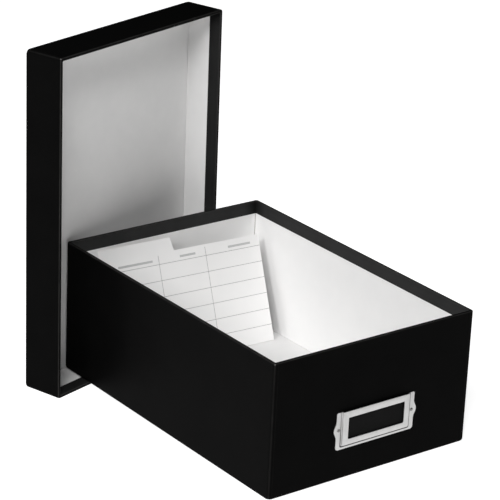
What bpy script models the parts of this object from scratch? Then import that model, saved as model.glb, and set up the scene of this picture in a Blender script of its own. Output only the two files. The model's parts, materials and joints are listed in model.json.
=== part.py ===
"""Paper-covered board storage box for cards, with its loose lid standing on end behind the tray.

Metres, +Z up. The origin is the centre of the tray's underside, +X runs to the right along its short
front and +Y to its rear. Each shell is five boards taped at the corners, covered outside and lined inside.
"""

import math

import bmesh
import bpy
from mathutils import Matrix, Vector

# Driving sizes: the lid is the outside of the closed box, and the tray slips inside it.
LID_WIDTH = 0.1970
LID_LENGTH = 0.2830
LID_DEPTH = 0.0364
TRAY_HEIGHT = 0.1106
SLIP = 0.0003

# Layers of a wall, from the outside in. Glued pieces keep a film's gap.
COVER = 0.00025
STAY = 0.00015
BOARD = 0.0015
LINING = 0.00025
FILM = 0.0002

# Covering: how far it turns over the rim and under the floor, and round each corner.
TURN_IN = 0.0110
TURN_UNDER = 0.0030
CORNER_RETURN = 0.0034
BOARD_EDGE_RADIUS = 0.0013
SHEET_INSET = 0.0022
SHEET_CLIP = 0.0030
SHEET_SHIFT = 0.0005
LINING_FOLD_RADIUS = 0.0006
TIGHT_FOLD_RADIUS = 0.0001
ARC_STEPS = 4
ROUND_PROFILE = 0.5
SAME_POINT = 1e-6
SMOOTH_BELOW = math.radians(35)

# Corner stays: strips of tape folded round the outside of the boards.
STAY_LEG = 0.0140
STAY_END_GAP = 0.0040

# Stamped label holder on the tray's front.
HOLDER_OFFSET = 0.0028
HOLDER_BOTTOM = 0.0255
HOLDER_TOP = 0.0563
HOLDER_WIDTH = 0.0750
HOLDER_METAL = 0.0005
HOLDER_RISE = 0.0021
FRAME_WIDTH = 0.0645
FRAME_ABOVE_FLANGE = 0.0030
WINDOW_WIDTH = 0.0542
WINDOW_BOTTOM = 0.0332
WINDOW_TOP = 0.0510
EAR_RADIUS = 0.0046
RIVET_SPACING = 0.0706
RIVET_HEIGHT = 0.0418
RIVET_SHANK_RADIUS = 0.0008
RIVET_HEAD_RADIUS = 0.0013
RIVET_HEAD_HEIGHT = 0.0006
RIVET_TAIL_HEIGHT = 0.0005
HOLE_DEPTH = 0.0055
ROUND_STEPS = 16

# Label card in the holder, and the index card in the tray.
LABEL_THICKNESS = 0.0004
LABEL_PLAY = 0.0003
CARD_WIDTH = 0.1524
CARD_HEIGHT = 0.1016
CARD_SHOULDER = 0.0905
CARD_THICKNESS = 0.0003
TAB_WIDTH = 0.0674
TAB_SLANT = 0.0025
CARD_YAW = math.radians(-4.1)
CARD_RIGHT_END = (0.0815, 0.0877)

# Lid pose: it stands on its short end, turned towards the tray, whose rear left corner is inside it.
LID_YAW = math.radians(15.5)
CORNER_FROM_LID_SIDE = 0.0446
REST_GAP = 0.0003

WALL = COVER + FILM + STAY + FILM + BOARD + FILM + LINING
BOARD_FACE = COVER + FILM + STAY + FILM
BOARD_BACK = BOARD_FACE + BOARD
COVER_RADIUS = BOARD_FACE + BOARD_EDGE_RADIUS
COVER_BOTTOM = COVER + FILM
BOARD_BOTTOM = COVER_BOTTOM + COVER + FILM
FLOOR_TOP = BOARD_BOTTOM + BOARD + FILM + LINING
TRAY_WIDTH = LID_WIDTH - 2 * (WALL + SLIP)
TRAY_LENGTH = LID_LENGTH - 2 * (WALL + SLIP)
TRAY_FRONT = -TRAY_LENGTH / 2


def clear_scene():
    for old in list(bpy.data.objects):
        bpy.data.objects.remove(old, do_unlink=True)


def make_material(name, colour, roughness, metallic=0.0):
    material = bpy.data.materials.new(name)
    material.use_nodes = True
    shader = material.node_tree.nodes["Principled BSDF"]
    shader.inputs["Base Color"].default_value = (*colour, 1.0)
    shader.inputs["Roughness"].default_value = roughness
    shader.inputs["Metallic"].default_value = metallic
    material.diffuse_color = (*colour, 1.0)
    return material


def add_object(name, bm, look, parent=None):
    """Link a closed bmesh as an object with a material of its own. look is (colour, roughness, metallic)."""
    bmesh.ops.recalc_face_normals(bm, faces=bm.faces)
    mesh = bpy.data.meshes.new(name)
    bm.to_mesh(mesh)
    bm.free()
    mesh.materials.append(make_material(name, *look))
    obj = bpy.data.objects.new(name, mesh)
    bpy.context.scene.collection.objects.link(obj)
    obj.parent = parent
    return obj


def add_empty(name, matrix):
    empty = bpy.data.objects.new(name, None)
    bpy.context.scene.collection.objects.link(empty)
    empty.matrix_world = matrix
    return empty


COVER_LOOK = ((0.012, 0.012, 0.012), 0.45, 0.0)
LINING_LOOK = ((0.80, 0.80, 0.79), 0.70, 0.0)
BOARD_LOOK = ((0.32, 0.29, 0.25), 0.85, 0.0)
STAY_LOOK = ((0.50, 0.38, 0.25), 0.75, 0.0)
METAL_LOOK = ((0.62, 0.62, 0.60), 0.32, 1.0)
RIVET_LOOK = ((0.50, 0.50, 0.49), 0.35, 1.0)
LABEL_LOOK = ((0.02, 0.02, 0.02), 0.60, 0.0)
CARD_LOOK = ((0.86, 0.86, 0.84), 0.65, 0.0)


def box_mesh(low, high):
    bm = bmesh.new()
    bmesh.ops.create_cube(bm, size=1.0)
    size = Vector(high) - Vector(low)
    centre = (Vector(high) + Vector(low)) / 2
    bmesh.ops.scale(bm, vec=size, verts=bm.verts)
    bmesh.ops.translate(bm, vec=centre, verts=bm.verts)
    return bm


def corner_arc(half_width, half_length, sign_x, sign_y, radius, inset, from_side):
    """Points round one corner of the wall outline, moved inwards by inset, from the side wall or the end."""
    fold = max(radius - inset, TIGHT_FOLD_RADIUS)
    centre_x = sign_x * (half_width - inset - fold)
    centre_y = sign_y * (half_length - inset - fold)
    points = []
    for step in range(ARC_STEPS + 1):
        turn = math.pi / 2 * step / ARC_STEPS
        if not from_side:
            turn = math.pi / 2 - turn
        x = centre_x + sign_x * fold * math.cos(turn)
        y = centre_y + sign_y * fold * math.sin(turn)
        points.append((x, y))
    return points


def sweep_mesh(path, profile):
    """Closed solid: an (inset, height) profile carried along path(inset), the plan points at that inset."""
    bm = bmesh.new()
    rows = []
    for inset, height in profile:
        rows.append([bm.verts.new((x, y, height)) for x, y in path(inset)])
    for row, after in zip(rows, rows[1:] + rows[:1]):
        for i in range(len(row) - 1):
            bm.faces.new((row[i], row[i + 1], after[i + 1], after[i]))
    bm.faces.new([row[0] for row in rows])
    bm.faces.new([row[-1] for row in reversed(rows)])
    return bm


def side_cover_path(half_width, half_length, sign_x):
    def path(inset):
        end_x = sign_x * (half_width - CORNER_RETURN)
        points = [(end_x, -half_length + inset)]
        points += corner_arc(half_width, half_length, sign_x, -1, COVER_RADIUS, inset, False)
        points += corner_arc(half_width, half_length, sign_x, 1, COVER_RADIUS, inset, True)
        return points + [(end_x, half_length - inset)]

    return path


def end_cover_path(half_width, half_length, sign_y):
    def path(inset):
        end_x = half_width - CORNER_RETURN - FILM
        y = sign_y * (half_length - inset)
        return [(-end_x, y), (end_x, y)]

    return path


def stay_path(half_width, half_length, sign_x, sign_y):
    def path(inset):
        points = corner_arc(half_width, half_length, sign_x, sign_y, COVER_RADIUS, inset, True)
        first = (sign_x * (half_width - inset), sign_y * (half_length - STAY_LEG))
        last = (sign_x * (half_width - STAY_LEG), sign_y * (half_length - inset))
        return [first] + points + [last]

    return path


def lining_path(half_width, half_length):
    """Once round the inside from the rear right corner, where the two ends meet."""

    def path(inset):
        radius = WALL + LINING_FOLD_RADIUS
        points = [(half_width - WALL - FILM, half_length - inset)]
        points += corner_arc(half_width, half_length, -1, 1, radius, inset, False)
        points += corner_arc(half_width, half_length, -1, -1, radius, inset, True)
        points += corner_arc(half_width, half_length, 1, -1, radius, inset, False)
        return points + [(half_width - inset, half_length - WALL + LINING)]

    return path


def cover_profile(height):
    """Up the outside, over the rim, down the inside as far as the turn-in, and under the floor's edge."""
    return [
        (0.0, COVER_BOTTOM),
        (0.0, height),
        (WALL, height),
        (WALL, height - TURN_IN),
        (WALL - COVER, height - TURN_IN),
        (WALL - COVER, height - COVER),
        (COVER, height - COVER),
        (COVER, COVER_BOTTOM + COVER),
        (TURN_UNDER, COVER_BOTTOM + COVER),
        (TURN_UNDER, COVER_BOTTOM),
    ]


def band_profile(outer, inner, low, high):
    return [(outer, low), (outer, high), (inner, high), (inner, low)]


def side_board_mesh(half_width, half_length, height, sign_x):
    outer = sign_x * (half_width - BOARD_FACE)
    inner = sign_x * (half_width - BOARD_BACK)
    reach_y = half_length - BOARD_FACE
    low = (min(outer, inner), -reach_y, BOARD_BOTTOM)
    high = (max(outer, inner), reach_y, height - COVER - FILM)
    bm = box_mesh(low, high)
    corners = [
        edge
        for edge in bm.edges
        if all(math.isclose(vert.co.x, outer, abs_tol=SAME_POINT) for vert in edge.verts)
        and math.isclose(edge.verts[0].co.y, edge.verts[1].co.y, abs_tol=SAME_POINT)
    ]
    bmesh.ops.bevel(
        bm,
        geom=corners,
        offset=BOARD_EDGE_RADIUS,
        segments=ARC_STEPS,
        profile=ROUND_PROFILE,
        affect="EDGES",
    )
    return bm


def end_board_mesh(half_width, half_length, height, sign_y):
    outer = sign_y * (half_length - BOARD_FACE)
    inner = sign_y * (half_length - BOARD_BACK)
    reach_x = half_width - BOARD_BACK - FILM
    low = (-reach_x, min(outer, inner), BOARD_BOTTOM)
    high = (reach_x, max(outer, inner), height - COVER - FILM)
    return box_mesh(low, high)


def floor_board_mesh(half_width, half_length):
    reach_x = half_width - BOARD_BACK - FILM
    reach_y = half_length - BOARD_BACK - FILM
    return box_mesh((-reach_x, -reach_y, BOARD_BOTTOM), (reach_x, reach_y, BOARD_BOTTOM + BOARD))


def floor_lining_mesh(half_width, half_length):
    reach_x = half_width - WALL + LINING
    reach_y = half_length - WALL + LINING
    return box_mesh((-reach_x, -reach_y, FLOOR_TOP - LINING), (reach_x, reach_y, FLOOR_TOP))


def outer_sheet_mesh(half_width, half_length):
    """Sheet over the turned-under edges, pasted a little to the left, with its corners clipped."""
    reach_x = half_width - SHEET_INSET
    reach_y = half_length - SHEET_INSET
    outline = []
    for sign_x, sign_y in ((-1, -1), (1, -1), (1, 1), (-1, 1)):
        along_x = (sign_x * (reach_x - SHEET_CLIP) - SHEET_SHIFT, sign_y * reach_y)
        along_y = (sign_x * reach_x - SHEET_SHIFT, sign_y * (reach_y - SHEET_CLIP))
        outline += [along_y, along_x] if sign_x == sign_y else [along_x, along_y]
    bm = bmesh.new()
    outer = [bm.verts.new((x, y, 0.0)) for x, y in outline]
    inner = [bm.verts.new((x, y, COVER)) for x, y in outline]
    bm.faces.new(outer)
    bm.faces.new(inner)
    for i, vert in enumerate(outer):
        after = (i + 1) % len(outer)
        bm.faces.new((vert, outer[after], inner[after], inner[i]))
    return bm


def make_shell(prefix, width, length, height, floor_name, sheet_name, end_names, parent=None):
    """One open shell, rim up, its outer sheet centred on the origin. end_names are the -Y and +Y ends."""
    half_width = width / 2
    half_length = length / 2
    pieces = {}

    def add(name, bm, look):
        pieces[name] = add_object(f"{prefix}_{name}", bm, look, parent)

    add(f"{floor_name}_board", floor_board_mesh(half_width, half_length), BOARD_LOOK)
    add(sheet_name, outer_sheet_mesh(half_width, half_length), COVER_LOOK)
    add(f"{floor_name}_lining", floor_lining_mesh(half_width, half_length), LINING_LOOK)
    for side, sign in (("left", -1), ("right", 1)):
        add(f"{side}_board", side_board_mesh(half_width, half_length, height, sign), BOARD_LOOK)
        path = side_cover_path(half_width, half_length, sign)
        add(f"{side}_cover", sweep_mesh(path, cover_profile(height)), COVER_LOOK)
    for end, sign in zip(end_names, (-1, 1)):
        add(f"{end}_board", end_board_mesh(half_width, half_length, height, sign), BOARD_LOOK)
        path = end_cover_path(half_width, half_length, sign)
        add(f"{end}_cover", sweep_mesh(path, cover_profile(height)), COVER_LOOK)
        for side, sign_x in (("left", -1), ("right", 1)):
            outer = COVER + FILM
            profile = band_profile(outer, outer + STAY, STAY_END_GAP, height - STAY_END_GAP)
            path = stay_path(half_width, half_length, sign_x, sign)
            add(f"stay_{end}_{side}", sweep_mesh(path, profile), STAY_LOOK)
    profile = band_profile(WALL - LINING, WALL, FLOOR_TOP + FILM, height - TURN_IN - FILM)
    add("wall_lining", sweep_mesh(lining_path(half_width, half_length), profile), LINING_LOOK)
    return pieces


def cylinder_along_y(centre, radius, low_y, high_y):
    bm = bmesh.new()
    bmesh.ops.create_cone(
        bm, cap_ends=True, segments=ROUND_STEPS, radius1=radius, radius2=radius, depth=high_y - low_y
    )
    bmesh.ops.rotate(bm, matrix=Matrix.Rotation(math.pi / 2, 3, "X"), verts=bm.verts)
    bmesh.ops.translate(bm, vec=(centre[0], (low_y + high_y) / 2, centre[1]), verts=bm.verts)
    return bm


def make_helper(name, bm):
    helper = add_object(name, bm, METAL_LOOK)
    helper.hide_render = True
    helper.display_type = "WIRE"
    return helper


def combine(obj, helper, operation):
    modifier = obj.modifiers.new(helper.name, "BOOLEAN")
    modifier.operation = operation
    modifier.object = helper
    modifier.solver = "EXACT"


def rivet_centres():
    return [
        ("left", (HOLDER_OFFSET - RIVET_SPACING / 2, RIVET_HEIGHT)),
        ("right", (HOLDER_OFFSET + RIVET_SPACING / 2, RIVET_HEIGHT)),
    ]


def make_rivet_holes():
    """Cutters through the holder's ears and every layer of the front wall."""
    holes = []
    for side, centre in rivet_centres():
        low_y = TRAY_FRONT - HOLDER_RISE
        high_y = TRAY_FRONT + HOLE_DEPTH
        bm = cylinder_along_y(centre, RIVET_SHANK_RADIUS + FILM, low_y, high_y)
        holes.append(make_helper(f"rivet_hole_{side}", bm))
    return holes


def flange_outline():
    """Flat flange of the holder: a rectangle with a round ear on each short side."""
    half = HOLDER_WIDTH / 2
    ear_x = RIVET_SPACING / 2
    spread = math.acos((half - ear_x) / EAR_RADIUS)
    points = [(-half, HOLDER_BOTTOM), (half, HOLDER_BOTTOM)]
    for sign in (1, -1):
        for step in range(ROUND_STEPS // 2 + 1):
            turn = sign * spread * (2 * step / (ROUND_STEPS // 2) - 1)
            x = sign * (ear_x + EAR_RADIUS * math.cos(turn))
            points.append((x, RIVET_HEIGHT + EAR_RADIUS * math.sin(turn)))
        if sign > 0:
            points += [(half, HOLDER_TOP), (-half, HOLDER_TOP)]
    return points


def front_plate_mesh(outline, near, far):
    """An (x, z) outline, centred on the holder, made solid between two distances in front of the tray."""
    bm = bmesh.new()
    rows = []
    for distance in (near, far):
        y = TRAY_FRONT - distance
        rows.append([bm.verts.new((x + HOLDER_OFFSET, y, z)) for x, z in outline])
    for row in rows:
        bm.faces.new(row)
    for i in range(len(outline)):
        after = (i + 1) % len(outline)
        bm.faces.new((rows[0][i], rows[0][after], rows[1][after], rows[1][i]))
    return bm


def rectangle(width, low, high):
    return [(-width / 2, low), (width / 2, low), (width / 2, high), (-width / 2, high)]


def make_label_holder(holes):
    frame_bottom = HOLDER_BOTTOM + FRAME_ABOVE_FLANGE
    pocket_width = FRAME_WIDTH - 2 * HOLDER_METAL
    back = FILM + HOLDER_METAL / 2
    front = HOLDER_RISE - HOLDER_METAL
    flange = front_plate_mesh(flange_outline(), FILM, FILM + HOLDER_METAL)
    holder = add_object("label_holder", flange, METAL_LOOK)
    frame = front_plate_mesh(rectangle(FRAME_WIDTH, frame_bottom, HOLDER_TOP), back, HOLDER_RISE)
    combine(holder, make_helper("holder_frame_block", frame), "UNION")
    pocket_outline = rectangle(pocket_width, frame_bottom + HOLDER_METAL, HOLDER_TOP + HOLDER_RISE)
    pocket = front_plate_mesh(pocket_outline, -HOLDER_RISE, front)
    combine(holder, make_helper("holder_pocket_cutter", pocket), "DIFFERENCE")
    window = front_plate_mesh(rectangle(WINDOW_WIDTH, WINDOW_BOTTOM, WINDOW_TOP), 0.0, 2 * HOLDER_RISE)
    combine(holder, make_helper("holder_window_cutter", window), "DIFFERENCE")
    for hole in holes:
        combine(holder, hole, "DIFFERENCE")


def make_rivet(side, centre):
    """Domed head over the ear, shank through the wall, and a tail clinched flat inside the tray."""
    head_base = FILM + HOLDER_METAL + FILM
    tail_face = -(WALL + FILM)
    tail_end = tail_face - RIVET_TAIL_HEIGHT
    profile = [(0.0, tail_end), (RIVET_HEAD_RADIUS, tail_end), (RIVET_HEAD_RADIUS, tail_face)]
    profile += [(RIVET_SHANK_RADIUS, tail_face), (RIVET_SHANK_RADIUS, head_base)]
    for step in range(ARC_STEPS + 1):
        turn = math.pi / 2 * step / ARC_STEPS
        rise = RIVET_HEAD_HEIGHT * math.sin(turn)
        profile.append((RIVET_HEAD_RADIUS * math.cos(turn), head_base + rise))
    bm = bmesh.new()
    verts = [bm.verts.new((radius, -distance, 0.0)) for radius, distance in profile]
    edges = [bm.edges.new(pair) for pair in zip(verts, verts[1:])]
    bmesh.ops.spin(
        bm, geom=verts + edges, cent=(0, 0, 0), axis=(0, 1, 0), steps=ROUND_STEPS, angle=2 * math.pi
    )
    bmesh.ops.remove_doubles(bm, verts=bm.verts, dist=SAME_POINT)
    rivet = add_object(f"holder_rivet_{side}", bm, RIVET_LOOK)
    rivet.data.shade_smooth()
    rivet.data.set_sharp_from_angle(angle=SMOOTH_BELOW)
    rivet.location = (centre[0], TRAY_FRONT, centre[1])


def make_label_card():
    """Dark card in the holder. Its origin is on its line of travel, up out of the open top."""
    low = HOLDER_BOTTOM + FRAME_ABOVE_FLANGE + HOLDER_METAL + LABEL_PLAY
    high = HOLDER_TOP - LABEL_PLAY
    width = FRAME_WIDTH - 2 * HOLDER_METAL - 2 * LABEL_PLAY
    middle = (HOLDER_RISE - HOLDER_METAL) / 2
    outline = rectangle(width, low, high)
    bm = front_plate_mesh(outline, middle - LABEL_THICKNESS / 2, middle + LABEL_THICKNESS / 2)
    origin = Vector((HOLDER_OFFSET, TRAY_FRONT - middle, low))
    bmesh.ops.translate(bm, vec=-origin, verts=bm.verts)
    card = add_object("label_card", bm, LABEL_LOOK)
    card.location = origin


def card_lean():
    """Angle from upright at which the tab's free corner meets the tray's rear lining."""
    left_end_y = CARD_RIGHT_END[1] - CARD_WIDTH * math.sin(CARD_YAW)
    run = TRAY_LENGTH / 2 - WALL - CARD_THICKNESS - REST_GAP - left_end_y
    return math.asin(run / (CARD_HEIGHT * math.cos(CARD_YAW)))


def make_index_card():
    """Tabbed card leaning on the rear wall. Its origin is the middle of its bottom edge, where it tips."""
    half = CARD_WIDTH / 2
    tab_end = -half + TAB_WIDTH
    outline = [
        (-half, 0.0),
        (half, 0.0),
        (half, CARD_SHOULDER),
        (tab_end + TAB_SLANT, CARD_SHOULDER),
        (tab_end, CARD_HEIGHT),
        (-half, CARD_HEIGHT),
    ]
    bm = bmesh.new()
    front = [bm.verts.new((x, 0.0, z)) for x, z in outline]
    back = [bm.verts.new((x, CARD_THICKNESS, z)) for x, z in outline]
    bm.faces.new(front)
    bm.faces.new(back)
    for i in range(len(outline)):
        after = (i + 1) % len(outline)
        bm.faces.new((front[i], front[after], back[after], back[i]))
    card = add_object("index_card", bm, CARD_LOOK)
    middle_x = CARD_RIGHT_END[0] - half * math.cos(CARD_YAW)
    middle_y = CARD_RIGHT_END[1] - half * math.sin(CARD_YAW)
    card.location = (middle_x, middle_y, FLOOR_TOP + REST_GAP)
    card.rotation_mode = "ZXY"
    turn = Matrix.Rotation(CARD_YAW, 3, "Z") @ Matrix.Rotation(-card_lean(), 3, "X")
    card.rotation_euler = turn.to_euler("ZXY")


def lid_matrix():
    """Pose of the lid: its end wall lies under the tray's rear corner and tips the tray a little."""
    corner_depth = LID_DEPTH - WALL - REST_GAP
    reach_under_tray = corner_depth / math.cos(LID_YAW)
    pitch = math.asin((WALL + REST_GAP) / (TRAY_LENGTH - reach_under_tray))
    turn = Matrix.Rotation(-pitch, 3, "X") @ Matrix.Rotation(LID_YAW, 3, "Z")
    across = turn @ Vector((1, 0, 0))
    backwards = turn @ Vector((0, 1, 0))
    upwards = turn @ Vector((0, 0, 1))
    corner = Vector((-TRAY_WIDTH / 2, TRAY_LENGTH / 2, 0))
    corner_height = TRAY_LENGTH * math.sin(pitch)
    foot = corner - across * CORNER_FROM_LID_SIDE - backwards * corner_depth - upwards * corner_height
    centre = foot + across * LID_WIDTH / 2 + upwards * LID_LENGTH / 2 + backwards * LID_DEPTH
    axes = Matrix((across, upwards, -backwards)).transposed()
    return Matrix.Translation(centre) @ axes.to_4x4()


def main():
    clear_scene()
    tray_ends = ("front", "rear")
    tray = make_shell("base", TRAY_WIDTH, TRAY_LENGTH, TRAY_HEIGHT, "floor", "bottom_sheet", tray_ends)
    holes = make_rivet_holes()
    for name in ("front_board", "front_cover", "wall_lining"):
        for hole in holes:
            combine(tray[name], hole, "DIFFERENCE")
    make_label_holder(holes)
    for side, centre in rivet_centres():
        make_rivet(side, centre)
    make_label_card()
    make_index_card()
    stand = add_empty("lid_pose", lid_matrix())
    make_shell("lid", LID_WIDTH, LID_LENGTH, LID_DEPTH, "top", "top_sheet", ("foot", "head"), stand)


main()
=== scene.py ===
"""Looks of the archival box: finer coverings, linings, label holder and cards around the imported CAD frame.

Everything is in metres in the row frame. A shell (tray or lid) is worked in its own axes, rim up, with the
centre of its outer sheet at the origin, and a matrix takes it to its place.
"""

import json
import math

import bmesh
import bpy
from mathutils import Matrix, Vector


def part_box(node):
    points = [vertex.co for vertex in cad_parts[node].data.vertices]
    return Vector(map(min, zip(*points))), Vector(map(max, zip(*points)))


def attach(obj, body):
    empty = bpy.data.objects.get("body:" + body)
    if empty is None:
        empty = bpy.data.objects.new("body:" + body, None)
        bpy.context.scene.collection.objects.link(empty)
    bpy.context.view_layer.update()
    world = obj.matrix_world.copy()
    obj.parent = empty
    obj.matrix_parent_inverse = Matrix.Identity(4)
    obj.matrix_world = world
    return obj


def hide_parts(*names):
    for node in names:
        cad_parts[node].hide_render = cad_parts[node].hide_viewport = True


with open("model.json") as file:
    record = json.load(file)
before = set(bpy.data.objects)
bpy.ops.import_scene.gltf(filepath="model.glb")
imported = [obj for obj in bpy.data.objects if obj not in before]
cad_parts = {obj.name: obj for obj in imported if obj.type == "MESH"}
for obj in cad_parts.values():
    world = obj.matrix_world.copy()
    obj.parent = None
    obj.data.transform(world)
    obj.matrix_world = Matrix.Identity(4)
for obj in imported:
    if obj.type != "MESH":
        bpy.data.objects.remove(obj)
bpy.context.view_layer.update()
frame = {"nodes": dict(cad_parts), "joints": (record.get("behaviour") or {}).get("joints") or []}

MM = 0.001

# Sheets and walls, as in the CAD.
PAPER = 0.25 * MM
FILM = 0.2 * MM
WALL = 2.75 * MM
TURN_IN = 11.0 * MM
TURN_UNDER = 3.0 * MM
CORNER_RETURN = 3.4 * MM
COVER_RADIUS = 2.1 * MM
COVER_FOOT = 0.45 * MM
LINING_FOOT = 3.05 * MM
INNER_FOLD = 0.6 * MM
STRIP_GAP = 0.08 * MM

# Finer than the CAD: folds, seams and how they are divided.
RIM_FOLD = 0.8 * MM
FOOT_FOLD = 0.95 * MM
FOOT_CORNER_FOLD = 1.9 * MM
BEND_SOFTNESS = 0.6
RETURN_SOFTNESS = 0.2
CUT_EDGE = PAPER / 3
SEAM_GAP = 0.7 * MM
ARC_STEPS = 8
INNER_ARC_STEPS = 4
WALL_STEPS = 8
PATH_STEP = 12 * MM
NEAR_FOLD = (0.3 * MM, 1.0 * MM)

# Wear of the covering together with painted highlight lines along its folds and upright edges, from 0 to 1,
# and SCUFF_AND_HIGHLIGHT where the outer rim corner is paler: rubbed through to pale fibres, with a painted
# highlight on top.
CORNER_WEAR_AND_HIGHLIGHT = 0.28
RETURN_WEAR_AND_HIGHLIGHT = 0.8 * CORNER_WEAR_AND_HIGHLIGHT
RETURN_FADE = 0.4 * MM
FOLD_CREST = 0.25
FOLD_FADE = 0.7 * MM
SCUFF_AND_HIGHLIGHT = 2.0
SCUFF_AND_HIGHLIGHT_TOP = 0.3 * MM
SCUFF_AND_HIGHLIGHT_FOOT = 1.2 * MM

# How much painted bounce light lightens the turned-in covering, standing in for light thrown back from the
# white lining: less on the lid's band and least near the corners, where shade falls.
TRAY_PAINTED_BOUNCE = 1.0
LID_PAINTED_BOUNCE = 0.45
CORNER_PAINTED_BOUNCE = 0.25

SHARP_ANGLE = math.radians(38)
SAME_POINT = 0.001 * MM


# ---------------------------------------------------------------- materials


class Look:
    """A Principled material being wired: small helpers that add and link its nodes.

    Textures sit in object space, so that they stay with a piece when its body moves.
    """

    def __init__(self, name, roughness, specular, metallic=0.0):
        self.material = bpy.data.materials.new(name)
        self.material.use_nodes = True
        self.tree = self.material.node_tree
        self.shader = self.tree.nodes["Principled BSDF"]
        self.shader.inputs["Metallic"].default_value = metallic
        self.shader.inputs["Roughness"].default_value = roughness
        self.shader.inputs["Specular IOR Level"].default_value = specular
        self.place = self.tree.nodes.new("ShaderNodeTexCoord").outputs["Object"]

    def link(self, value, socket):
        if isinstance(value, bpy.types.NodeSocket):
            self.tree.links.new(value, socket)
        else:
            socket.default_value = value

    def noise(self, per_mm, detail=3.0, roughness=0.55, stretch=None):
        """Noise whose features are about 1 / per_mm millimetres across, from 0 to 1."""
        node = self.tree.nodes.new("ShaderNodeTexNoise")
        node.inputs["Scale"].default_value = per_mm / MM
        node.inputs["Detail"].default_value = detail
        node.inputs["Roughness"].default_value = roughness
        place = self.place
        if stretch:
            mapping = self.tree.nodes.new("ShaderNodeMapping")
            mapping.inputs["Scale"].default_value = stretch
            self.tree.links.new(place, mapping.inputs["Vector"])
            place = mapping.outputs["Vector"]
        self.tree.links.new(place, node.inputs["Vector"])
        return node.outputs["Fac"]

    def cells(self, per_mm):
        node = self.tree.nodes.new("ShaderNodeTexVoronoi")
        node.inputs["Scale"].default_value = per_mm / MM
        self.tree.links.new(self.place, node.inputs["Vector"])
        return node.outputs["Distance"]

    def attribute(self, name):
        node = self.tree.nodes.new("ShaderNodeAttribute")
        node.attribute_name = name
        return node.outputs["Fac"]

    def spread(self, value, low, high, out_low=0.0, out_high=1.0):
        node = self.tree.nodes.new("ShaderNodeMapRange")
        node.inputs["From Min"].default_value = low
        node.inputs["From Max"].default_value = high
        node.inputs["To Min"].default_value = out_low
        node.inputs["To Max"].default_value = out_high
        self.link(value, node.inputs["Value"])
        return node.outputs["Result"]

    def maths(self, operation, first, second):
        node = self.tree.nodes.new("ShaderNodeMath")
        node.operation = operation
        self.link(first, node.inputs[0])
        self.link(second, node.inputs[1])
        return node.outputs["Value"]

    def mix(self, factor, first, second):
        node = self.tree.nodes.new("ShaderNodeMix")
        node.data_type = "RGBA"
        for value, socket in ((factor, node.inputs[0]), (first, node.inputs[6]), (second, node.inputs[7])):
            self.link((*value, 1.0) if isinstance(value, tuple) else value, socket)
        return node.outputs[2]

    def colour(self, value):
        self.link(value, self.shader.inputs["Base Color"])

    def roughness(self, value):
        self.link(value, self.shader.inputs["Roughness"])

    def bump(self, heights):
        """Stacks (height, depth in metres, strength) bumps and feeds the last into the shader."""
        normal = None
        for height, depth, strength in heights:
            node = self.tree.nodes.new("ShaderNodeBump")
            node.inputs["Strength"].default_value = strength
            node.inputs["Distance"].default_value = depth
            self.tree.links.new(height, node.inputs["Height"])
            if normal:
                self.tree.links.new(normal, node.inputs["Normal"])
            normal = node.outputs["Normal"]
        self.tree.links.new(normal, self.shader.inputs["Normal"])


def grey(value, warmth=0.0):
    return (value * (1 + warmth), value, value * (1 - warmth))


def cover_paper():
    """Near-black covering paper with a fine leathery grain: paler on the turned-in bands, which is painted
    bounce light, and on the folds, where wear and painted highlight lines are mixed.
    """
    look = Look("cover_paper", 0.5, 0.014)
    cloud = look.noise(0.03, 4.0)
    fleck = look.noise(1.6, 2.0)
    grain = look.noise(3.2, 4.0, 0.65)
    pebble = look.cells(2.4)
    body = look.mix(look.spread(cloud, 0.3, 0.7), grey(0.0012), grey(0.0018, 0.02))
    body = look.mix(look.spread(fleck, 0.62, 0.8, 0.0, 0.3), body, grey(0.0045, 0.03))
    # Painted bounce light: the turned-in bands are lightened as if lit by light thrown back from the white
    # lining, scaled by each shell's and column's share.
    inside = look.attribute("turned_in")
    body = look.mix(inside, body, look.mix(look.spread(cloud, 0.3, 0.7), grey(0.032), grey(0.040)))
    # Folds and upright edges: wear mixed with painted highlight lines, broken up by noise.
    fold_unevenness = look.spread(look.noise(0.12, 4.0), 0.3, 0.7, 0.45, 0.95)
    wear_and_highlight = look.maths("MULTIPLY", look.attribute("fold"), fold_unevenness)
    body = look.mix(wear_and_highlight, body, grey(0.034, 0.03))
    # Pale spot under the outer rim corners: rubbed-through pale fibres together with a painted highlight.
    scuff_and_highlight = look.spread(look.attribute("fold"), 1.0, SCUFF_AND_HIGHLIGHT)
    look.colour(look.mix(scuff_and_highlight, body, grey(0.22, 0.03)))
    look.roughness(look.spread(grain, 0.3, 0.7, 0.42, 0.58))
    look.bump([(cloud, 0.25 * MM, 0.25), (pebble, 0.05 * MM, 0.3), (grain, 0.05 * MM, 0.5)])
    return look.material


def lining_paper(name, dull, bright):
    """Matt white alkaline paper with a faint mottle and fibres."""
    look = Look(name, 0.75, 0.2)
    mottle = look.noise(0.05, 4.0)
    tooth = look.noise(4.0, 4.0, 0.7)
    fibre = look.noise(1.1, 3.0, 0.6, (1.0, 1.0, 0.12))
    body = look.mix(look.spread(mottle, 0.3, 0.7), grey(dull, 0.004), grey(bright, 0.006))
    body = look.mix(look.spread(fibre, 0.60, 0.78, 0.0, 0.35), body, grey(0.95 * dull, 0.015))
    look.colour(body)
    look.roughness(look.spread(tooth, 0.3, 0.7, 0.68, 0.84))
    look.bump([(mottle, 0.4 * MM, 0.12), (fibre, 0.04 * MM, 0.2), (tooth, 0.04 * MM, 0.35)])
    return look.material


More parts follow.
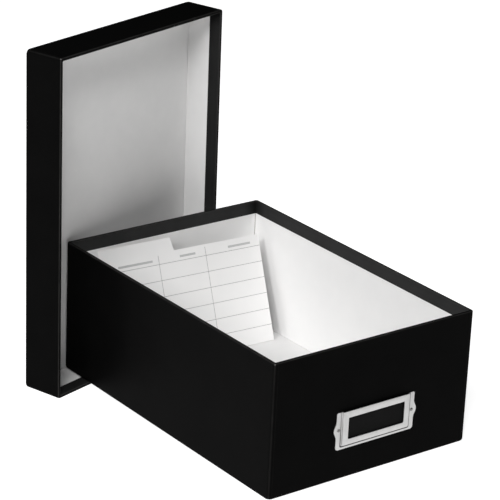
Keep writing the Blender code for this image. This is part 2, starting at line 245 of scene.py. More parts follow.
def greyboard():
    """Grey-brown pulp board with dark and light specks."""
    look = Look("board", 0.88, 0.2)
    pulp = look.noise(0.6, 5.0, 0.65)
    speck = look.noise(2.8, 2.0)
    body = look.mix(look.spread(pulp, 0.3, 0.7), (0.27, 0.245, 0.21), (0.37, 0.335, 0.29))
    body = look.mix(look.spread(speck, 0.66, 0.74), body, (0.13, 0.12, 0.11))
    look.colour(body)
    look.bump([(pulp, 0.1 * MM, 0.5), (speck, 0.05 * MM, 0.4)])
    return look.material


def kraft_tape():
    look = Look("stay_tape", 0.72, 0.3)
    fibre = look.noise(0.9, 4.0, 0.6, (1.0, 1.0, 0.1))
    mottle = look.noise(0.2, 4.0)
    body = look.mix(look.spread(mottle, 0.3, 0.7), (0.46, 0.33, 0.20), (0.55, 0.41, 0.26))
    look.colour(look.mix(look.spread(fibre, 0.5, 0.75, 0.0, 0.6), body, (0.36, 0.25, 0.15)))
    look.bump([(fibre, 0.05 * MM, 0.5)])
    return look.material


def holder_metal():
    """Satin nickel plate over stamped steel: fine upright brush lines, faint smudges and a rolled grain,
    darkened along the creased step round the frame by a painted shadow.
    """
    look = Look("holder_metal", 0.5, 0.5, 1.0)
    brush = look.noise(2.2, 4.0, 0.6, (1.0, 1.0, 0.06))
    smudge = look.noise(0.12, 4.0)
    pit = look.noise(3.5, 2.0)
    body = look.mix(look.spread(smudge, 0.3, 0.7), grey(0.50, 0.006), grey(0.57, 0.004))
    body = look.mix(look.spread(pit, 0.68, 0.78, 0.0, 0.5), body, grey(0.35, 0.01))
    # Painted shadow of the raised frame, darkening the metal along the step round it.
    look.colour(look.mix(look.attribute("painted_frame_shadow"), body, grey(0.035, 0.02)))
    brushed = look.spread(brush, 0.3, 0.7, 0.42, 0.56)
    look.roughness(look.maths("ADD", brushed, look.spread(smudge, 0.3, 0.7, 0.0, 0.06)))
    look.bump([(brush, 0.015 * MM, 0.4), (smudge, 0.15 * MM, 0.15)])
    return look.material


def rivet_metal():
    """Steel darker than the holder's plate, with a duller, mottled crown."""
    look = Look("rivet_metal", 0.42, 0.5, 1.0)
    mottle = look.noise(1.4, 4.0, 0.6)
    look.colour(look.mix(look.spread(mottle, 0.3, 0.7), grey(0.17, 0.02), grey(0.26, 0.03)))
    look.roughness(look.spread(mottle, 0.3, 0.7, 0.34, 0.52))
    look.bump([(mottle, 0.04 * MM, 0.4)])
    return look.material


def dark_card():
    look = Look("label_stock", 0.6, 0.05)
    fibre = look.noise(1.2, 4.0, 0.65)
    cloud = look.noise(0.09, 3.0)
    body = look.mix(look.spread(cloud, 0.3, 0.7), grey(0.0022), grey(0.0032))
    look.colour(look.mix(look.spread(fibre, 0.58, 0.75, 0.0, 0.5), body, grey(0.007, 0.02)))
    look.roughness(look.spread(fibre, 0.3, 0.7, 0.54, 0.68))
    look.bump([(fibre, 0.04 * MM, 0.4)])
    return look.material


def white_card():
    look = Look("card_stock", 0.6, 0.3)
    cloud = look.noise(0.04, 4.0)
    tooth = look.noise(3.0, 4.0, 0.65)
    fleck = look.noise(0.9, 2.0)
    body = look.mix(look.spread(cloud, 0.3, 0.7), grey(0.91, 0.006), grey(0.94, 0.008))
    look.colour(look.mix(look.spread(fleck, 0.66, 0.78, 0.0, 0.35), body, grey(0.86, 0.02)))
    look.roughness(look.spread(tooth, 0.3, 0.7, 0.54, 0.7))
    look.bump([(cloud, 0.3 * MM, 0.1), (tooth, 0.03 * MM, 0.3)])
    return look.material


def ink(name, dark, light):
    """Grey printing ink that sits unevenly on the card."""
    look = Look(name, 0.62, 0.3)
    patch = look.noise(2.0, 4.0, 0.7)
    look.colour(look.mix(look.spread(patch, 0.3, 0.7), grey(dark), grey(light)))
    look.roughness(look.spread(patch, 0.3, 0.7, 0.56, 0.7))
    look.bump([(patch, 0.02 * MM, 0.3)])
    return look.material


COVER = cover_paper()
# One lining paper in three tones that differ only for the light: the tray's floor and the lid's lining are
# darker copies of the tray's wall paper, painted shade.
TRAY_LINING = lining_paper("tray_lining_paper", 0.93, 0.95)
TRAY_FLOOR_SHADED_COPY = lining_paper("tray_floor_paper_painted_shade", 0.79, 0.82)
LID_LINING_SHADED_COPY = lining_paper("lid_lining_paper_painted_shade", 0.75, 0.78)
BOARD = greyboard()
TAPE = kraft_tape()
METAL = holder_metal()
RIVET = rivet_metal()
LABEL = dark_card()
CARD = white_card()
RULE_INK = ink("rule_ink", 0.30, 0.42)
WORD_INK = ink("word_ink", 0.50, 0.62)


# ---------------------------------------------------------------- shapes


def finish_piece(name, bm, materials, body, replaced, matrix=None):
    """Turns a closed bmesh into a piece that rides on a body and stands for CAD nodes."""
    bmesh.ops.recalc_face_normals(bm, faces=bm.faces)
    if matrix:
        bmesh.ops.transform(bm, matrix=matrix, verts=bm.verts)
    mesh = bpy.data.meshes.new(name)
    bm.to_mesh(mesh)
    bm.free()
    for material in materials:
        mesh.materials.append(material)
    mesh.shade_smooth()
    mesh.set_sharp_from_angle(angle=SHARP_ANGLE)
    piece = bpy.data.objects.new(name, mesh)
    bpy.context.scene.collection.objects.link(piece)
    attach(piece, body)
    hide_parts(*replaced)
    return piece


def arc(centre_a, centre_b, radius, start, end, steps=ARC_STEPS):
    """Points of a circle's arc from one angle to another, in degrees."""
    points = []
    for step in range(steps + 1):
        turn = math.radians(start + (end - start) * step / steps)
        points.append((centre_a + radius * math.cos(turn), centre_b + radius * math.sin(turn)))
    return points


def spaced(first, last, step=PATH_STEP):
    """Points from first up to, but without, last, no further apart than step."""
    count = max(1, math.ceil((Vector(last) - Vector(first)).length / step))
    return [tuple(Vector(first).lerp(Vector(last), i / count)) for i in range(count)]


class Shell:
    """One open box of the pair: its half sizes, height, place, body, ends and how much painted bounce light
    lightens its turned-in rim.
    """

    def __init__(self, body, matrix, half_width, half_length, height, ends, painted_bounce):
        self.body = body
        self.matrix = matrix
        self.half_width = half_width
        self.half_length = half_length
        self.height = height
        self.ends = ends
        self.painted_bounce = painted_bounce

    def corner(self, sign_x, sign_y, share, inset):
        """Plan point on one corner; share runs from 0 on the side wall to 1 on the end wall."""
        turn = share * math.pi / 2
        outer = Vector((self.half_width - COVER_RADIUS, self.half_length - COVER_RADIUS))
        outer += COVER_RADIUS * Vector((math.cos(turn), math.sin(turn)))
        reach = WALL + INNER_FOLD
        inner = Vector((self.half_width - reach, self.half_length - reach))
        inner += INNER_FOLD * Vector((math.cos(turn), math.sin(turn)))
        point = outer.lerp(inner, inset / WALL)
        return (sign_x * point.x, sign_y * point.y)


def cover_section(height, softness):
    """Closed (inset, level) section of a covering strip, its foot rounder where the corner is soft."""
    foot = FOOT_FOLD + (FOOT_CORNER_FOLD - FOOT_FOLD) * softness
    wall_low = COVER_FOOT + foot
    wall_high = height - RIM_FOLD
    turned_end = height - TURN_IN
    outer = [(TURN_UNDER, COVER_FOOT)]
    outer += arc(foot, wall_low, foot, 270, 180)
    outer += [(0.0, wall_low + step) for step in NEAR_FOLD]
    outer += [(0.0, wall_low + (wall_high - wall_low) * i / WALL_STEPS) for i in range(1, WALL_STEPS)]
    outer += [(0.0, wall_high - step) for step in reversed(NEAR_FOLD)]
    outer += arc(RIM_FOLD, wall_high, RIM_FOLD, 180, 90)
    outer += arc(WALL - RIM_FOLD, wall_high, RIM_FOLD, 90, 0)
    outer += [(WALL, wall_high - step) for step in NEAR_FOLD]
    outer += [(WALL, height - TURN_IN / 2), (WALL, turned_end + CUT_EDGE), (WALL - CUT_EDGE, turned_end)]
    inner = [(WALL - PAPER, turned_end)]
    inner += arc(WALL - RIM_FOLD, wall_high, RIM_FOLD - PAPER, 0, 90, INNER_ARC_STEPS)
    inner += arc(RIM_FOLD, wall_high, RIM_FOLD - PAPER, 90, 180, INNER_ARC_STEPS)
    inner += arc(foot, wall_low, foot - PAPER, 180, 270, INNER_ARC_STEPS)
    inner.append((TURN_UNDER, COVER_FOOT + PAPER))
    return outer + inner


def fold_amount(height, inset, level):
    """1 on the crests of the rim's two folds and of the foot's, fading out within FOLD_FADE."""
    rim = height - FOLD_CREST * RIM_FOLD
    crests = (
        (FOLD_CREST * RIM_FOLD, rim),
        (WALL - FOLD_CREST * RIM_FOLD, rim),
        (FOLD_CREST * FOOT_FOLD, COVER_FOOT + FOLD_CREST * FOOT_FOLD),
    )
    near = min(math.dist((inset, level), crest) for crest in crests)
    return max(0.0, 1 - near / FOLD_FADE)


def wear_and_highlight_amount(shell, inset, level, edge_wear_and_highlight):
    """Wear and painted highlight of folds and upright edges; a pale spot below outer rim corners, rubbed
    fibres and painted highlight together, and a painted highlight line in the tray's inner ones.
    """
    wear_and_highlight = fold_amount(shell.height, inset, level)
    below_rim = shell.height - level
    on_crest = edge_wear_and_highlight == CORNER_WEAR_AND_HIGHLIGHT
    if inset < WALL / 2:
        # Just below an outer rim corner's crest: the pale spot, rubbed fibres with a painted highlight.
        if on_crest and SCUFF_AND_HIGHLIGHT_TOP < below_rim < SCUFF_AND_HIGHLIGHT_FOOT:
            return SCUFF_AND_HIGHLIGHT
        return max(wear_and_highlight, edge_wear_and_highlight)
    # On the crest of the tray's inner corners, within the turned-in band: a full-strength pale line, painted
    # highlight where the paper edges meet.
    if shell.body == "base" and on_crest and below_rim < TURN_IN:
        return 1.0
    return wear_and_highlight


class Column:
    """One upright line of a strip: its plan point at an inset, its wear with painted highlight, its share of
    painted bounce light and its foot softness.
    """

    def __init__(self, point_at, edge_wear_and_highlight=0.0, painted_bounce=0.0, softness=0.0):
        self.point_at = point_at
        self.edge_wear_and_highlight = edge_wear_and_highlight
        self.painted_bounce = painted_bounce
        self.softness = softness


def sweep(shell, section_at, columns):
    """Closed strip with a section at each column, which may change with the column's softness."""
    bm = bmesh.new()
    fold = bm.verts.layers.float.new("fold")
    turned = bm.verts.layers.float.new("turned_in")
    rows = []
    for column in columns:
        row = []
        for inset, level in section_at(column.softness):
            vert = bm.verts.new((*column.point_at(inset), level))
            vert[fold] = wear_and_highlight_amount(shell, inset, level, column.edge_wear_and_highlight)
            # Turned-in band: its share of painted bounce light, less on the lid and least near the corners,
            # where shade falls.
            turned_in = inset > WALL - RIM_FOLD and shell.height - level < TURN_IN + MM
            vert[turned] = shell.painted_bounce * column.painted_bounce if turned_in else 0.0
            row.append(vert)
        rows.append(row)
    for first, second in zip(rows, rows[1:]):
        for i in range(len(first)):
            after = (i + 1) % len(first)
            bm.faces.new((first[i], second[i], second[after], first[after]))
    bm.faces.new(rows[0])
    bm.faces.new(list(reversed(rows[-1])))
    return bm


def end_point(shell, x, sign_y):
    return lambda inset: (x, sign_y * (shell.half_length - inset))


def side_point(shell, sign_x, y):
    return lambda inset: (sign_x * (shell.half_width - inset), y)


def corner_point(shell, sign_x, sign_y, share):
    return lambda inset: shell.corner(sign_x, sign_y, share, inset)


def return_columns(shell, sign_x, sign_y):
    """A side strip's cut end on the end wall, and where the wear and painted highlight of that edge have
    faded.
    """
    reach = shell.half_width - CORNER_RETURN
    edge = end_point(shell, sign_x * reach, sign_y)
    faded = end_point(shell, sign_x * (reach + RETURN_FADE), sign_y)
    return [Column(edge, RETURN_WEAR_AND_HIGHLIGHT, CORNER_PAINTED_BOUNCE), Column(faded, 0.0, CORNER_PAINTED_BOUNCE, RETURN_SOFTNESS)]


def bend_columns(shell, sign_x, sign_y):
    """Round one corner from the side wall to the end wall, softest on its crest, where wear and a painted
    highlight are strongest.
    """
    columns = []
    for step in range(ARC_STEPS + 1):
        crest = math.sin(math.pi * step / ARC_STEPS)
        point_at = corner_point(shell, sign_x, sign_y, step / ARC_STEPS)
        softness = BEND_SOFTNESS + (1 - BEND_SOFTNESS) * crest
        columns.append(Column(point_at, CORNER_WEAR_AND_HIGHLIGHT * crest**4, CORNER_PAINTED_BOUNCE, softness))
    return columns


def side_columns(shell, sign_x):
    """A side strip: round the front corner, along the wall and round the rear corner."""
    columns = return_columns(shell, sign_x, -1) + bend_columns(shell, sign_x, -1)[::-1]
    low = shell.half_length - WALL - INNER_FOLD
    for y in [point[0] for point in spaced((-low, 0.0), (low, 0.0))] + [low]:
        painted_bounce = CORNER_PAINTED_BOUNCE if abs(y) == low else 1.0
        columns.append(Column(side_point(shell, sign_x, y), painted_bounce=painted_bounce))
    return columns + bend_columns(shell, sign_x, 1) + return_columns(shell, sign_x, 1)[::-1]


def end_columns(shell, sign_y):
    """An end strip, between the returns of the side strips."""
    reach = shell.half_width - CORNER_RETURN - STRIP_GAP
    columns = []
    for x in [point[0] for point in spaced((-reach, 0.0), (reach, 0.0))] + [reach]:
        painted_bounce = CORNER_PAINTED_BOUNCE if abs(x) == reach else 1.0
        columns.append(Column(end_point(shell, x, sign_y), painted_bounce=painted_bounce))
    return columns


def lining_columns(shell):
    """Once round the inside, with its two ends meeting in the corner at +X, +Y."""

    def bend(sign_x, sign_y, share):
        def point(inset):
            turn = share * math.pi / 2
            radius = WALL + INNER_FOLD - inset
            x = shell.half_width - WALL - INNER_FOLD + radius * math.cos(turn)
            y = shell.half_length - WALL - INNER_FOLD + radius * math.sin(turn)
            return (sign_x * x, sign_y * y)

        return point

    points = [end_point(shell, shell.half_width - WALL - SEAM_GAP, 1)]
    steps = [i / ARC_STEPS for i in range(ARC_STEPS + 1)]
    for sign_x, sign_y, shares in ((-1, 1, steps[::-1]), (-1, -1, steps), (1, -1, steps[::-1])):
        points += [bend(sign_x, sign_y, share) for share in shares]
    points.append(side_point(shell, 1, shell.half_length - WALL + PAPER))
    return [Column(point_at) for point_at in points]


def cover_shell(shell):
    """The four covering strips of a shell."""

    def section_at(softness):
        return cover_section(shell.height, softness)

    strips = [(side, side_columns(shell, sign)) for side, sign in (("left", -1), ("right", 1))]
    strips += [(end, end_columns(shell, sign)) for end, sign in zip(shell.ends, (-1, 1))]
    for place, columns in strips:
        name = f"{shell.body}_{place}_cover"
        bm = sweep(shell, section_at, columns)
        finish_piece(f"{name}_folded", bm, [COVER], shell.body, [name], shell.matrix)


def line_shell(shell, look):
    """The wall lining of a shell, from just above its floor to the end of the turned-in covering."""
    high = shell.height - TURN_IN - FILM
    back = WALL - PAPER
    section = [(back, LINING_FOOT), (back, high), (WALL - CUT_EDGE, high), (WALL, high - CUT_EDGE)]
    section.append((WALL, LINING_FOOT))
    name = f"{shell.body}_wall_lining"
    bm = sweep(shell, lambda softness: section, lining_columns(shell))
    finish_piece(f"{name}_creased", bm, [look], shell.body, [name], shell.matrix)


def lid_matrix():
    """The lid's own axes: it slides straight back, and its length stands up across that."""
    slide = next(joint for joint in frame["joints"] if joint["name"] == "lid_slide")
    back = Vector(slide["axis"]).normalized()
    up = Vector((0.0, -back.z, back.y)).normalized()
    across = up.cross(-back)
    return Matrix((across, up, -back)).transposed()


def spans(names, axes):
    """Lowest and highest reach of CAD nodes along three axes."""
    lows = [math.inf] * 3
    highs = [-math.inf] * 3
    for name in names:
        for vert in frame["nodes"][name].data.vertices:
            for i, along in enumerate(axes.transposed() @ vert.co):
                lows[i] = min(lows[i], along)
                highs[i] = max(highs[i], along)
    return Vector(lows), Vector(highs)


def make_tray():
    low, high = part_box("base_left_cover")
    ends = ("front", "rear")
    tray = Shell("base", Matrix.Identity(4), -low.x, high.y, high.z, ends, TRAY_PAINTED_BOUNCE)
    cover_shell(tray)
    line_shell(tray, TRAY_LINING)


def make_lid():
    axes = lid_matrix()
    low, high = spans([name for name in frame["nodes"] if name.startswith("lid_")], axes)
    centre = axes @ Vector(((low.x + high.x) / 2, (low.y + high.y) / 2, low.z))
    half = (high - low) / 2
    place = Matrix.Translation(centre) @ axes.to_4x4()
    lid = Shell("lid", place, half.x, half.y, high.z - low.z, ("foot", "head"), LID_PAINTED_BOUNCE)
    cover_shell(lid)
    line_shell(lid, LID_LINING_SHADED_COPY)


# ---------------------------------------------------------------- label holder

# The holder's outlines are in the front wall's plane, and rises are outwards from the wall's face.
FLANGE_RISE = 0.7 * MM
FRAME_RISE = 2.1 * MM
PLATE = 0.5 * MM
PLATE_EDGE = 0.12 * MM
FLANGE_WIDTH = 75.0 * MM
FRAME_WIDTH = 64.5 * MM
FLANGE_LOW = 25.5 * MM
FRAME_LOW = 28.5 * MM
HOLDER_HIGH = 56.3 * MM
WINDOW_WIDTH = 54.2 * MM
WINDOW_LOW = 33.2 * MM
WINDOW_HIGH = 51.0 * MM
TOP_CORNER = 1.2 * MM
FOOT_CORNER = 2.4 * MM
EAR_SWELL = 2.3 * MM
EAR_REACH = 7.2 * MM
EAR_STEPS = 20
RIVET_HEIGHT = 41.8 * MM
HOLDER_STEPS = 6
FRAME_CORNER = 1.5 * MM
WINDOW_FOOT_CORNER = 1.3 * MM
WINDOW_TOP_CORNER = 0.6 * MM
SQUARE = 0.05 * MM
# The painted frame shadow is weaker along the frame's left side, away from the light.
LEFT_FRAME_SHADOW = 0.25
# From the flange through the creased step and up to the frame's face: (outwards, rise, share of the painted
# shadow of the raised frame).
STEP_UP = (
    (1.50 * MM, 0.70 * MM, 0.0),
    (1.34 * MM, 0.66 * MM, 0.7),
    (1.14 * MM, 0.56 * MM, 1.0),
    (0.72 * MM, 0.56 * MM, 1.0),
    (0.52 * MM, 0.68 * MM, 0.6),
    (0.30 * MM, 0.72 * MM, 0.1),
    (0.05 * MM, 0.80 * MM, 0.0),
    (-0.03 * MM, 1.10 * MM, 0.0),
    (-0.08 * MM, 1.70 * MM, 0.0),
    (-0.18 * MM, 1.95 * MM, 0.0),
    (-0.42 * MM, 2.10 * MM, 0.0),
)


def rounded(half, low, high, bottom_radius, top_radius):
    """Closed rounded rectangle from its top left corner down, along the bottom and back up."""
    points = arc(-half + top_radius, high - top_radius, top_radius, 90, 180, HOLDER_STEPS)
    points += arc(-half + bottom_radius, low + bottom_radius, bottom_radius, 180, 270, HOLDER_STEPS)
    points += arc(half - bottom_radius, low + bottom_radius, bottom_radius, 270, 360, HOLDER_STEPS)
    points += arc(half - top_radius, high - top_radius, top_radius, 0, 90, HOLDER_STEPS)
    return points


def flange_edge():
    """The flange's outline from its top left corner, down round the left ear and up round the right one."""
    half = FLANGE_WIDTH / 2
    left = arc(-half + TOP_CORNER, HOLDER_HIGH - TOP_CORNER, TOP_CORNER, 90, 180, HOLDER_STEPS)
    for step in range(EAR_STEPS + 1):
        offset = EAR_REACH * (1 - 2 * step / EAR_STEPS)
        swell = EAR_SWELL * (0.5 + 0.5 * math.cos(math.pi * offset / EAR_REACH))
        left.append((-half - swell, RIVET_HEIGHT + offset))
    left += arc(-half + FOOT_CORNER, FLANGE_LOW + FOOT_CORNER, FOOT_CORNER, 180, 270, HOLDER_STEPS)
    return left + [(-x, z) for x, z in reversed(left)]


def soften_edges(piece, width, segments, over_angle=math.radians(30)):
    """Rounds every edge that turns by more than an angle."""
    soften = piece.modifiers.new("edges", "BEVEL")
    soften.width = width
    soften.segments = segments
    soften.limit_method = "ANGLE"
    soften.angle_limit = over_angle


def make_holder():
    """One stamping: a flange with scalloped sides, a creased step up to the frame, and the window."""
    low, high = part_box("label_holder")
    middle = (low.x + high.x) / 2
    face_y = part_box("base_front_cover")[0].y
    half = FRAME_WIDTH / 2
    bm = bmesh.new()
    painted_frame_shadow = bm.verts.layers.float.new("painted_frame_shadow")

    def loop(points, rise, shadow_share=0.0):
        made = []
        for x, z in points:
            vert = bm.verts.new((middle + x, face_y - rise, z))
            # Painted shadow of the raised frame on the step, weaker on the left side.
            on_left = x < 0 and z > FRAME_LOW + MM
            vert[painted_frame_shadow] = shadow_share * (LEFT_FRAME_SHADOW if on_left else 1.0)
            made.append(vert)
        return made

    def open_loop(out, rise, shadow_share=0.0):
        """The frame's outline moved outwards, without its top side, which is open for the label."""
        points = rounded(half + out, FRAME_LOW - out, HOLDER_HIGH, FRAME_CORNER, SQUARE)
        return loop(points[HOLDER_STEPS:-HOLDER_STEPS], rise, shadow_share)

    def bridge(first, second):
        for i in range(len(first) - 1):
            bm.faces.new((first[i], first[i + 1], second[i + 1], second[i]))

    flange = loop(flange_edge(), FLANGE_RISE)
    before = open_loop(*STEP_UP[0])
    bm.faces.new(flange + list(reversed(before)))
    for out, rise, shadow_share in STEP_UP[1:]:
        row = open_loop(out, rise, shadow_share)
        bridge(before, row)
        before = row
    corners = (WINDOW_FOOT_CORNER, WINDOW_TOP_CORNER)
    window = loop(rounded(WINDOW_WIDTH / 2, WINDOW_LOW, WINDOW_HIGH, *corners), FRAME_RISE)
    bridge(before, window[HOLDER_STEPS:-HOLDER_STEPS])
    left_arc = window[: HOLDER_STEPS + 1]
    right_arc = window[-HOLDER_STEPS - 1 :]
    bm.faces.new([before[0]] + list(reversed(left_arc)) + list(reversed(right_arc)) + [before[-1]])
    piece = finish_piece("label_holder_pressed", bm, [METAL], "base", ["label_holder"])
    thick = piece.modifiers.new("metal", "SOLIDIFY")
    thick.thickness = PLATE
    thick.offset = -1.0
    thick.use_even_offset = True
    soften_edges(piece, PLATE_EDGE, 3, math.radians(50))


RIVET_SHANK = 0.8 * MM
RIVET_DOME = 0.6 * MM
RIVET_HEAD_REST = 0.02 * MM
RIVET_TAIL = 0.5 * MM
RIVET_HOLLOW = 0.12 * MM
RIVET_DOME_STEPS = 8
RIVET_SIDES = 32


def rivet_profile(radius, head_face, tail_end):
    """(radius, y) from the crown of the head back to the hollow middle of the clinched tail."""
    head_base = head_face + RIVET_DOME
    tail_base = tail_end - RIVET_TAIL
    profile = [(0.0, head_face)]
    for step in range(1, RIVET_DOME_STEPS + 1):
        turn = math.pi / 2 * step / RIVET_DOME_STEPS
        profile.append((radius * math.sin(turn), head_base - RIVET_DOME * math.cos(turn)))
    under_head = head_base + RIVET_HEAD_REST
    profile += [(0.96 * radius, under_head), (RIVET_SHANK, under_head), (RIVET_SHANK, tail_base)]
    profile += [(0.95 * radius, tail_base), (radius, tail_base + 0.1 * MM)]
    profile += [(0.94 * radius, tail_end - RIVET_HOLLOW), (0.6 * radius, tail_end)]
    profile += [(0.45 * radius, tail_end - 0.1 * MM), (0.0, tail_end - RIVET_HOLLOW)]
    return profile


def make_rivets():
    for side in ("left", "right"):
        node = f"holder_rivet_{side}"
        low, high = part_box(node)
        centre = Vector(((low.x + high.x) / 2, 0.0, (low.z + high.z) / 2))
        bm = bmesh.new()
        verts = [bm.verts.new((r, y, 0.0)) for r, y in rivet_profile((high.x - low.x) / 2, low.y, high.y)]
        edges = [bm.edges.new(pair) for pair in zip(verts, verts[1:])]
        bmesh.ops.spin(
            bm, geom=verts + edges, cent=(0, 0, 0), axis=(0, 1, 0), steps=RIVET_SIDES, angle=2 * math.pi
        )
        bmesh.ops.remove_doubles(bm, verts=bm.verts, dist=SAME_POINT)
        bmesh.ops.translate(bm, vec=centre, verts=bm.verts)
        finish_piece(f"{node}_domed", bm, [RIVET], "base", [node])


# ---------------------------------------------------------------- cards


LABEL_CORNER = 0.8 * MM
LABEL_EDGE = 0.08 * MM


def make_label_card():
    """Dark slip with rounded corners."""
    low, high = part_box("label_card")
    centre = (low + high) / 2
    half = (high.x - low.x) / 2
    bm = bmesh.new()
    outline = rounded(half, low.z, high.z, LABEL_CORNER, LABEL_CORNER)
    near = [bm.verts.new((centre.x + x, low.y, z)) for x, z in outline]
    far = [bm.verts.new((centre.x + x, high.y, z)) for x, z in outline]
    bm.faces.new(near)
    bm.faces.new(list(reversed(far)))
    for i in range(len(near)):
        after = (i + 1) % len(near)
        bm.faces.new((near[i], far[i], far[after], near[after]))
    piece = finish_piece("label_card_slip", bm, [LABEL], "label_card", ["label_card"])
    soften_edges(piece, LABEL_EDGE, 2)


# The card's outline and print, across from its middle and up from its foot, for a 6 by 4 in card.
CARD_PITCH = 4.0 * MM
CARD_SHOULDER = 90.5 * MM
CARD_BOW = 0.7 * MM
FOOT_BOW_SHARE = 0.35
TAB_WIDTH = 67.4 * MM
TAB_SLANT = 2.5 * MM
RULE_WIDTH = 0.38 * MM
HEADER_RULE = 81.2 * MM
ROW_PITCH = 13.5 * MM
ROWS = 6
COLUMN_RULES = (-22.0 * MM, 23.0 * MM)
COLUMN_TOP = 88.6 * MM
WORDS = ((-60.0 * MM, -27.8 * MM), (-1.8 * MM, 13.2 * MM), (45.2 * MM, 67.2 * MM))
WORD_LOW = 83.8 * MM
WORD_HIGH = 85.6 * MM
PLAIN, RULE, WORD = range(3)


def breaks(low, high, marks, pitch):
    """Sorted grid lines from low to high that hold every mark, with the gaps filled in at a pitch."""
    fixed = sorted({low, high, *[mark for mark in marks if low < mark < high]})
    lines = []
    for first, last in zip(fixed, fixed[1:]):
        count = max(1, round((last - first) / pitch))
        lines += [first + (last - first) * i / count for i in range(count)]
    return lines + [high]


def both_sides(rule):
    return (rule - RULE_WIDTH / 2, rule + RULE_WIDTH / 2)


def inked(x, z):
    """Which ink covers a point of the card's front."""
    for row in range(ROWS):
        if abs(z - HEADER_RULE + row * ROW_PITCH) < RULE_WIDTH / 2:
            return RULE
    if z < COLUMN_TOP and any(abs(x - rule) < RULE_WIDTH / 2 for rule in COLUMN_RULES):
        return RULE
    if WORD_LOW < z < WORD_HIGH and any(low < x < high for low, high in WORDS):
        return WORD
    return PLAIN


def card_axes():
    """The leaning card's own axes as columns: along its foot, into the card, and up its face."""
    hinge = next(joint for joint in frame["joints"] if joint["name"] == "card_tip")
    along = Vector(hinge["axis"]).normalized()
    face = max(frame["nodes"]["index_card"].data.polygons, key=lambda polygon: polygon.area)
    outward = Vector(face.normal).normalized()
    if outward.y > 0:
        outward = -outward
    up = outward.cross(along)
    if up.z < 0:
        up = -up
    return Matrix((along, -outward, up)).transposed()


class CardGrid:
    """Grid lines of the index card: the body's columns and rows, and the tab's rows above them."""

    def __init__(self, half, height):
        self.half = half
        self.height = height
        self.tab_end = TAB_WIDTH - half + TAB_SLANT
        column_marks = [side for rule in COLUMN_RULES for side in both_sides(rule)]
        column_marks += [end for word in WORDS for end in word] + [self.tab_end]
        row_marks = [side for row in range(ROWS) for side in both_sides(HEADER_RULE - row * ROW_PITCH)]
        row_marks += [COLUMN_TOP, WORD_LOW, WORD_HIGH]
        self.xs = breaks(-half, half, column_marks, CARD_PITCH)
        self.zs = breaks(0.0, CARD_SHOULDER, row_marks, CARD_PITCH)
        self.tab_zs = breaks(CARD_SHOULDER, height, [], CARD_PITCH)[1:]
        self.tab_count = self.xs.index(self.tab_end) + 1

    def bow(self, x, z):
        """How far the face swells forward: nothing at its sides, and least at its foot."""
        rise = FOOT_BOW_SHARE + (1 - FOOT_BOW_SHARE) * z / self.height
        return CARD_BOW * (1 - (x / self.half) ** 2) * rise

    def tab_squeeze(self, z):
        """The tab's width at a height, as a share of its width at the shoulder."""
        share = (z - CARD_SHOULDER) / (self.height - CARD_SHOULDER)
        return 1 - TAB_SLANT * share / (self.tab_end + self.half)

    def points(self):
        """(x, z) rows of one face: the body's first, then the tab's."""
        body = [[(x, z) for x in self.xs] for z in self.zs]
        tab = []
        for z in self.tab_zs:
            squeeze = self.tab_squeeze(z)
            tab.append([(-self.half + (x + self.half) * squeeze, z) for x in self.xs[: self.tab_count]])
        return body, tab

    def outline(self, body, tab):
        """Once round the rows' outer ends, up the right side and down the left."""
        edge = body[0] + [row[-1] for row in body[1:]]
        edge += body[-1][self.tab_count - 1 : -1][::-1]
        edge += [row[-1] for row in tab]
        edge += tab[-1][:-1][::-1]
        edge += [row[0] for row in reversed(tab[:-1])]
        edge += [row[0] for row in reversed(body)][:-1]
        return edge

    def fill(self, bm, body, tab, printed):
        """Faces over the rows, and on the printed side each with the ink that covers it."""
        for rows, count in ((body, len(self.xs)), ([body[-1]] + tab, self.tab_count)):
            for j, (row, after) in enumerate(zip(rows, rows[1:])):
                for i in range(count - 1):
                    face = bm.faces.new((row[i], row[i + 1], after[i + 1], after[i]))
                    if printed and rows is body:
                        middle_z = (self.zs[j] + self.zs[j + 1]) / 2
                        face.material_index = inked((self.xs[i] + self.xs[i + 1]) / 2, middle_z)


def make_index_card():
    """Ruled card with a slanted tab on its left, bowed a little forward between its sides."""
    axes = card_axes()
    low, high = spans(["index_card"], axes)
    grid = CardGrid((high.x - low.x) / 2, high.z - low.z)
    bm = bmesh.new()

    def rows_at(rows, depth):
        """The rows' points as vertices, a depth behind the card's face."""
        foot = Vector(((low.x + high.x) / 2, low.y + depth, low.z))
        made = []
        for row in rows:
            places = [foot + Vector((x, -grid.bow(x, z), z)) for x, z in row]
            made.append([bm.verts.new(axes @ place) for place in places])
        return made

    edges = []
    for depth in (0.0, high.y - low.y):
        body, tab = (rows_at(rows, depth) for rows in grid.points())
        grid.fill(bm, body, tab, depth == 0.0)
        edges.append(grid.outline(body, tab))
    front, back = edges
    for i in range(len(front)):
        after = (i + 1) % len(front)
        bm.faces.new((front[i], back[i], back[after], front[after]))
    inks = [CARD, RULE_INK, WORD_INK]
    finish_piece("index_card_ruled", bm, inks, "index_card", ["index_card"])


# ---------------------------------------------------------------- carried-over CAD nodes


def give_looks():
    """Every CAD node that still shows, or that lies under a covering, gets its own finished material."""
    for name, node in frame["nodes"].items():
        if name.endswith("_board"):
            look = BOARD
        elif "_stay_" in name:
            look = TAPE
        elif name == "base_floor_lining":
            look = TRAY_FLOOR_SHADED_COPY
        elif name.endswith("_lining"):
            look = TRAY_LINING if name.startswith("base") else LID_LINING_SHADED_COPY
        elif name.endswith("_sheet"):
            look = COVER
        else:
            continue
        node.data.materials.clear()
        node.data.materials.append(look)


# ---------------------------------------------------------------- studio

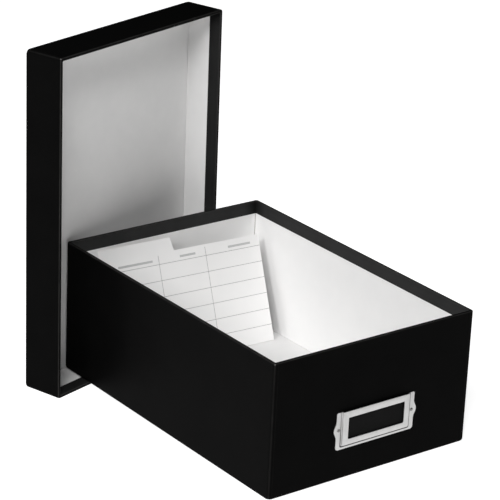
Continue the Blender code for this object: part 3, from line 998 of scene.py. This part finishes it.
# Soft boxes: (name, place, side of its square in metres, watts), all turned to AIM.
LIGHTS = (
    ("front_left_high", (-1.5, -1.5, 2.2), 0.9, 47.0),
    ("left_front_high", (-2.4, -0.7, 1.7), 0.8, 37.0),
    ("back_high", (0.3, 1.7, 2.1), 1.6, 5.0),
)
AIM = (0.0, 0.0, 0.1)
WHITE = (1.0, 1.0, 1.0, 1.0)
WORLD_STRENGTH = 0.02
FLOOR_GLOW = 0.8
FLOOR_REACH = 12.0

# The photo's view, fitted to the box's long edges: lens in millimetres, place in metres, XYZ degrees.
CAMERA_LENS = 173.46
CAMERA_SENSOR = 36.0
CAMERA_PLACE = (-1.0743, -1.3744, 0.8266)
CAMERA_TURN = (68.2425, -2.4582, -36.61)
CAMERA_CLIP = (0.05, 40.0)


def make_floor():
    """Pale ground, level where the lid stands upright, through the foot of the tipped tray's front."""
    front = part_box("base_front_cover")[0].y
    up = lid_matrix().col[1]
    turn = up.to_track_quat("Z", "Y").to_matrix().to_4x4()
    bm = bmesh.new()
    bmesh.ops.create_grid(bm, x_segments=4, y_segments=4, size=FLOOR_REACH)
    bmesh.ops.transform(bm, matrix=Matrix.Translation((0.0, front, 0.0)) @ turn, verts=bm.verts)
    mesh = bpy.data.meshes.new("floor")
    bm.to_mesh(mesh)
    bm.free()
    floor = bpy.data.objects.new("floor", mesh)
    bpy.context.scene.collection.objects.link(floor)
    look = Look("floor", 0.9, 0.1)
    look.colour(look.mix(look.spread(look.noise(0.002, 2.0), 0.3, 0.7), grey(0.84), grey(0.88)))
    look.shader.inputs["Emission Color"].default_value = WHITE
    look.shader.inputs["Emission Strength"].default_value = FLOOR_GLOW
    mesh.materials.append(look.material)


def make_lights():
    for name, place, size, power in LIGHTS:
        data = bpy.data.lights.new(name, "AREA")
        data.shape = "SQUARE"
        data.size = size
        data.energy = power
        light = bpy.data.objects.new(name, data)
        bpy.context.scene.collection.objects.link(light)
        light.location = place
        light.rotation_euler = (Vector(AIM) - light.location).to_track_quat("-Z", "Y").to_euler()


def make_world():
    world = bpy.data.worlds.new("studio")
    world.use_nodes = True
    background = world.node_tree.nodes["Background"]
    background.inputs["Color"].default_value = WHITE
    background.inputs["Strength"].default_value = WORLD_STRENGTH
    bpy.context.scene.world = world
    bpy.context.scene.view_settings.view_transform = "Standard"


def make_camera():
    data = bpy.data.cameras.new("camera")
    data.lens = CAMERA_LENS
    data.sensor_width = CAMERA_SENSOR
    data.clip_start, data.clip_end = CAMERA_CLIP
    camera = bpy.data.objects.new("camera", data)
    bpy.context.scene.collection.objects.link(camera)
    camera.location = CAMERA_PLACE
    camera.rotation_euler = [math.radians(angle) for angle in CAMERA_TURN]
    bpy.context.scene.camera = camera


make_tray()
make_lid()
make_holder()
make_rivets()
make_label_card()
make_index_card()
give_looks()
make_floor()
make_lights()
make_world()
make_camera()
